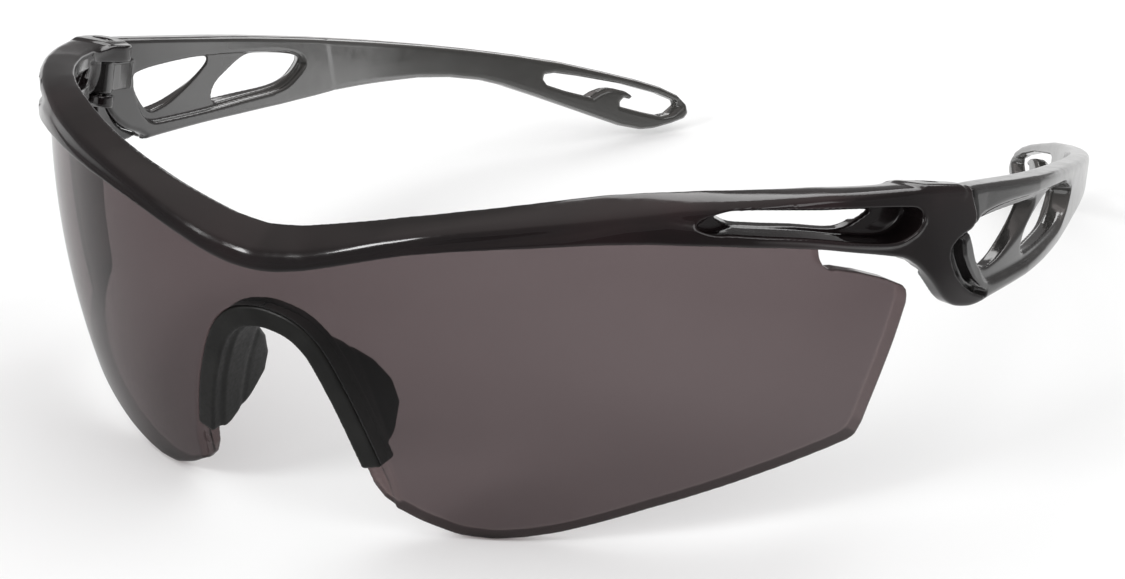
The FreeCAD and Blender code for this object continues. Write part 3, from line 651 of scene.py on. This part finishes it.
# ------------------------------------------------------------------------- lens
def flange_outline():
    """Left half of the thin flange inside the notch, in (x, z)."""
    along = np.vstack([NOTCH[1:], NOTCH[-1]]) - np.vstack([NOTCH[0], NOTCH[:-1]])
    along[0] = (1.0, 0.0)
    normal = along[:, ::-1] * (1, -1) / np.hypot(*along.T)[:, None]
    inner = NOTCH + FLANGE_WIDTH * normal
    return np.vstack([inner[inner[:, 1] > -15.0], FLANGE_END, [(15.4, -20.4), (15.2, -19.0)],
                      (NOTCH + (0.4, 0))[::-1]])


def build_lens():
    step = STEP * 1.05
    arc = np.arange(0, math.radians(LENS_END) * ARC_R, step)
    axes = [arc / ARC_R, np.arange(-27.0, 19.5, step), np.arange(-2.9, 0.7, 0.2)]
    angle, z, offset = np.ix_(*axes)
    degrees = np.degrees(angle)
    top = table_at(BROW_BOTTOM, degrees, half=1.2) + table_at(LENS_TOP_RISE, degrees, half=1.5)
    low = table_at(LENS_LOWER, degrees, half=1.2)
    slope = np.gradient(low, arc, axis=0)
    # the lower edge starts beside the notch
    under = np.where(degrees > 9.0, (low - z) / sqrt(1 + slope ** 2), -30.0)
    shape = meet(z - top, under, 0.3)
    shape = cut(shape, polygon(arc[:, None, None], z, arc_points(LENS_OUTER)), 0.5)
    x = lens_radius(z) * sin(angle)
    shape = cut(shape, polygon(x, z, ARCH), 0.25)
    half = LENS_THICKNESS / 2
    solid = meet(shape, np.abs(offset + half) - half, 0.32)
    flange = meet(polygon(x, z, flange_outline()), np.abs(offset + 1.12) - 0.52, 0.18)
    solid = join(solid, flange, 0.12)
    mark_x = ARC_R * math.sin(math.radians(MARK_ANGLE))
    mark = np.abs(sqrt((x - mark_x) ** 2 + (z - MARK_Z) ** 2) - MARK_RADIUS) - 0.14
    solid = minimum(solid, meet(mark, np.abs(offset + 0.62) - 0.16, 0.05))
    (angle, z, offset), quads = field_mesh(solid, axes, passes=3)
    # faces between the two lens surfaces get the edge material
    edge = (offset[quads].min(1) < -0.12) & (offset[quads].max(1) > 0.12 - LENS_THICKNESS)
    make("lens_shield", round_lens(angle, offset, z), quads, [LENS_FACE, LENS_EDGE],
         "front", "lens", index=edge)


# -------------------------------------------------------------------- nosepiece
def build_nose():
    axes = [np.arange(*span, STEP) for span in ((0, 16.2), (-71.5, -56.0), (-17.8, 7.4))]
    x, y, z = np.ix_(*axes)
    arch = polygon(x, z, ARCH)         # negative inside the notch
    offset = lens_offset(x, y, z)
    band = meet(np.abs(arch + 1.42) - 1.38, slab(offset, -3.3, -0.05), 0.35)
    # the wings run straight back and thicken towards a soft pad edge
    flare = fade(offset, -2.4, -8.4)
    wing = np.abs(arch + 2.4 + 0.10 * flare) - (0.82 + 0.16 * flare)
    wing = meet(wing, polygon(y, z, WING_REAR + [(-80.0, -16.7), (-80.0, 6.0)]), 0.85)
    wing = meet(wing, offset + 1.9, 0.2)
    solid = join(band, wing, 0.5)
    solid = meet(solid, -15.5 - z + 0.25 * (x - 12.0), 0.4)
    groove = np.abs(offset + 6.6 + 0.12 * (z + 5.0)) - 0.02
    solid = solid + 0.16 * exp(-(groove / 0.45) ** 2) * (offset < -4.0)
    coords, quads = field_mesh(solid, axes, passes=6)
    make("nosepiece_pad", lens_to_world(*coords), quads, [RUBBER],
         "front", "nosepiece", flip=True)


# ---------------------------------------------------------------------- temples
def draw_in(points):
    """Shortens the tail of a temple table."""
    return [(v if v < TAIL_START else TAIL_START + (v - TAIL_START) * TAIL_SCALE, value)
            for v, value in points]


def mid_x(v):
    """Natural cubic spline through the mid-surface table."""
    at, x = np.array(draw_in(TEMPLE_MID)).T
    n = len(at)
    gap = np.diff(at)
    matrix, bend = np.zeros((n, n)), np.zeros(n)
    matrix[0, 0] = matrix[-1, -1] = 1
    for i in range(1, n - 1):
        matrix[i, i - 1:i + 2] = gap[i - 1], 2 * (gap[i - 1] + gap[i]), gap[i]
        bend[i] = 6 * ((x[i + 1] - x[i]) / gap[i] - (x[i] - x[i - 1]) / gap[i - 1])
    second = np.linalg.solve(matrix, bend)
    k = np.clip(np.searchsorted(at, v) - 1, 0, n - 2)
    left, right, g = at[k + 1] - v, v - at[k], gap[k]
    return ((second[k] * left ** 3 + second[k + 1] * right ** 3) / (6 * g)
            + (x[k] / g - second[k] * g / 6) * left
            + (x[k + 1] / g - second[k + 1] * g / 6) * right)


def temple_shell(v, w, across):
    """Temple with recesses and windows; across is the distance out from the mid-surface."""
    front = [(a + 0.2, b) for a, b in PARTING if -14.0 < b < 0.15]
    outline = draw_in(TEMPLE_TOP + TEMPLE_BOTTOM) + [(13.9, -14.7), (13.9, -14.3)]
    inner = np.interp(v, *zip(*TEMPLE_INNER))
    outer = np.interp(v, *zip(*TEMPLE_THICKNESS)) - inner
    relief = 0.10 * sigmoid((v - 54.0 + 0.35 * (w + 3)) / 0.18)    # small step, inner face
    solid = meet(polygon(v, w, outline + front[::-1]), across - outer, 0.95)
    solid = meet(solid, -across - inner + relief, 0.75)
    solid = cut(solid, meet(polygon(v, w, closed_spline(WEB_INNER)), across + 0.7, 0.3), 0.35)
    solid = cut(solid, meet(polygon(v, w, closed_spline(WEB_OUTER)), 1.4 - across, 0.4), 0.6)
    # the front windows shift along v through the wall, so that they widen outwards
    out = np.clip((across + 0.7) / 2.8, 0, 0.8)
    at = v - WINDOW_SHIFT
    shift1 = 4.2 - 8.0 * fade(at, 8.0, 25.5)
    shift2 = 3.7 - 6.1 * fade(at, 28.0, 46.0)
    window1 = polygon(at + out * shift1, w, closed_spline(WINDOW_1, 3))
    window2 = polygon(at + out * shift2, w, closed_spline(WINDOW_2, 3))
    solid = cut(solid, minimum(window1, window2), 0.4)
    return cut(solid, polygon(v, w, draw_in(WINDOW_3)), 0.55)


def temple_hinge(solid, x, v, w):
    """Stepped lip behind the end piece, room for the lug, arm and barrel."""
    lip = polygon(v, w, [(-2.0, -6.0)] + LIP + [(14.2, -22.0), (-2.0, -22.0)])
    solid = cut(solid, maximum(lip, 67.75 - x), 0.25)
    pin = pin_distance(x, v)
    for room in (maximum(pin - 4.7, -2.35 - w), maximum(pin - 2.75, w + 7.45),
                 overlap(pin - 3.2, np.abs(w + 4.6) - 4.0, 65.9 - x)):
        solid = maximum(solid, -room)
    # ahead of the parting, the arm stays clear of the outer wall
    y, z = turn(v, w, -HINGE_TILT)
    offset = lens_offset(x, *turn(y - LENS_Y, z - LENS_Z, -LENS_TILT))
    arm = meet(polygon(x, v, ARM), np.abs(w + 4.8) - 2.1, 0.25)
    arm = maximum(arm, minimum(offset + 1.05, behind_parting(v, w, shift=0.25)))
    barrel = meet(pin - 2.0, np.abs(w + 4.9) - 2.5, 0.15)
    solid = join(join(solid, arm, 0.25), barrel, 0.2)
    return cut(solid, pin - 0.75, 0.08)


def build_temples():
    axes = [np.arange(*span, STEP) for span in ((-2.6, 121.6), (-15.6, 2.0), (-4.6, 4.6))]
    v, w, sideways = np.ix_(*axes)
    middle = mid_x(v)
    across = sideways / sqrt(1 + np.gradient(middle, axes[0], axis=0) ** 2)
    solid = temple_hinge(temple_shell(v, w, across), middle + sideways, v, w)
    (v, w, sideways), quads = field_mesh(solid, axes, passes=5, mirror=False)
    x = mid_x(v) + sideways
    y, z = turn(v, w, -HINGE_TILT)
    for side, sign in (("left", 1), ("right", -1)):
        body = "temple_" + side
        make(body + "_arm", (sign * x, y, z), quads, [TEMPLE_PLASTIC], body, body,
             flip=sign > 0)


def finish_screws():
    for side in ("left", "right"):
        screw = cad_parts["hinge_screw_" + side]
        screw.data.materials.clear()
        screw.data.materials.append(STEEL)
        bevel = screw.modifiers.new("edge", "BEVEL")
        bevel.width = 0.00005
        bevel.segments = 2
        bevel.limit_method = "ANGLE"


# ------------------------------------------- floor, lights, world, camera (metres)
def build_floor():
    """Pale floor that looks darker in reflections, by place."""
    mesh = bpy.data.meshes.new("floor")
    mesh.from_pydata([(-6, -6, 0), (6, -6, 0), (6, 6, 0), (-6, 6, 0)], [], [(0, 1, 2, 3)])
    floor = bpy.data.objects.new("floor", mesh)
    floor.location = (0, 0, -0.0003)
    bpy.context.scene.collection.objects.link(floor)
    material, tree, shader, place = new_material("pale_floor")
    pale = ramp(tree, noise(tree, place, scale=0.004, detail=2.0), [
        (0.3, (0.86, 0.86, 0.86)), (0.7, (0.90, 0.90, 0.90))])
    spot = separate(tree, add_node(tree, "NewGeometry").outputs["Position"])
    reflected = calc(tree, "MULTIPLY",
                     remap(tree, spot["Y"], source=(-0.15, 0.02), target=(0.12, 0.70)),
                     remap(tree, spot["X"], source=(0.075, 0.125), target=(1.0, 0.25)))
    glossy = add_node(tree, "LightPath").outputs["Is Glossy Ray"]
    feed(tree, shader, {"Base Color": mix_colours(tree, glossy, pale, reflected),
                        "Roughness": 0.9, "Specular IOR Level": 0.1})
    mesh.materials.append(material)


def area_light(name, place, target, size, power):
    light = bpy.data.lights.new(name, "AREA")
    light.energy = power
    light.shape = "RECTANGLE"
    light.size, light.size_y = size
    lamp = bpy.data.objects.new(name, light)
    lamp.location = place
    lamp.rotation_mode = "QUATERNION"
    lamp.rotation_quaternion = (Vector(target) - Vector(place)).to_track_quat("-Z", "Y")
    bpy.context.scene.collection.objects.link(lamp)


def build_world():
    """White to camera and diffuse rays, a grey gradient to the others."""
    world = bpy.data.worlds.new("studio")
    bpy.context.scene.world = world
    world.use_nodes = True
    tree = world.node_tree
    height = separate(tree, add_node(tree, "TexCoord").outputs["Generated"])["Z"]
    gradient = ramp(tree, remap(tree, height, source=(-1, 1), target=(0, 1)), [
        (0.0, (0.3, 0.3, 0.3)), (0.5, (0.20, 0.195, 0.195)), (0.64, (0.15, 0.145, 0.145)),
        (0.8, (0.22, 0.205, 0.20)), (0.9, (0.50, 0.455, 0.445)), (1.0, (0.60, 0.55, 0.54))])
    ray = add_node(tree, "LightPath").outputs
    white = calc(tree, "MAXIMUM", ray["Is Camera Ray"], ray["Is Diffuse Ray"])
    feed(tree, tree.nodes["Background"], {
        "Color": mix_colours(tree, white, gradient, (1, 1, 1, 1)), "Strength": 1.0})


def build_camera():
    """Looks from the front, on the wearer's left and above."""
    data = bpy.data.cameras.new("camera")
    data.sensor_width = 36.0
    data.lens = 91.2
    data.clip_start, data.clip_end = 0.02, 50
    camera = bpy.data.objects.new("camera", data)
    right = Vector((0.8564, 0.5161, -0.01595)).normalized()
    back = Vector((0.48477, -0.79302, 0.36894))
    back = (back - right * back.dot(right)).normalized()
    place = Vector((0.1989, -0.3049, 0.1181)) + Vector((0, ORIGIN_Y, ORIGIN_Z)) * MM
    axes = Matrix((right, back.cross(right), back)).transposed()
    camera.matrix_world = Matrix.Translation(place) @ axes.to_4x4()
    scene = bpy.context.scene
    scene.collection.objects.link(camera)
    scene.camera = camera
    scene.view_settings.view_transform = "Standard"
    scene.view_settings.look = "None"


build_brow()
build_lens()
build_nose()
build_temples()
finish_screws()
build_floor()
area_light("key", place=(-0.31, -0.745, 0.52), target=(0, -0.08, 0.03), size=(0.34, 0.17),
           power=2.6)
area_light("back", place=(-0.12, 0.85, 0.66), target=(0, 0, 0.02), size=(0.90, 0.45), power=2.4)
area_light("fill", place=(0.85, -0.15, 0.40), target=(0, 0, 0.02), size=(0.30, 0.40), power=0.7)
build_world()
build_camera()
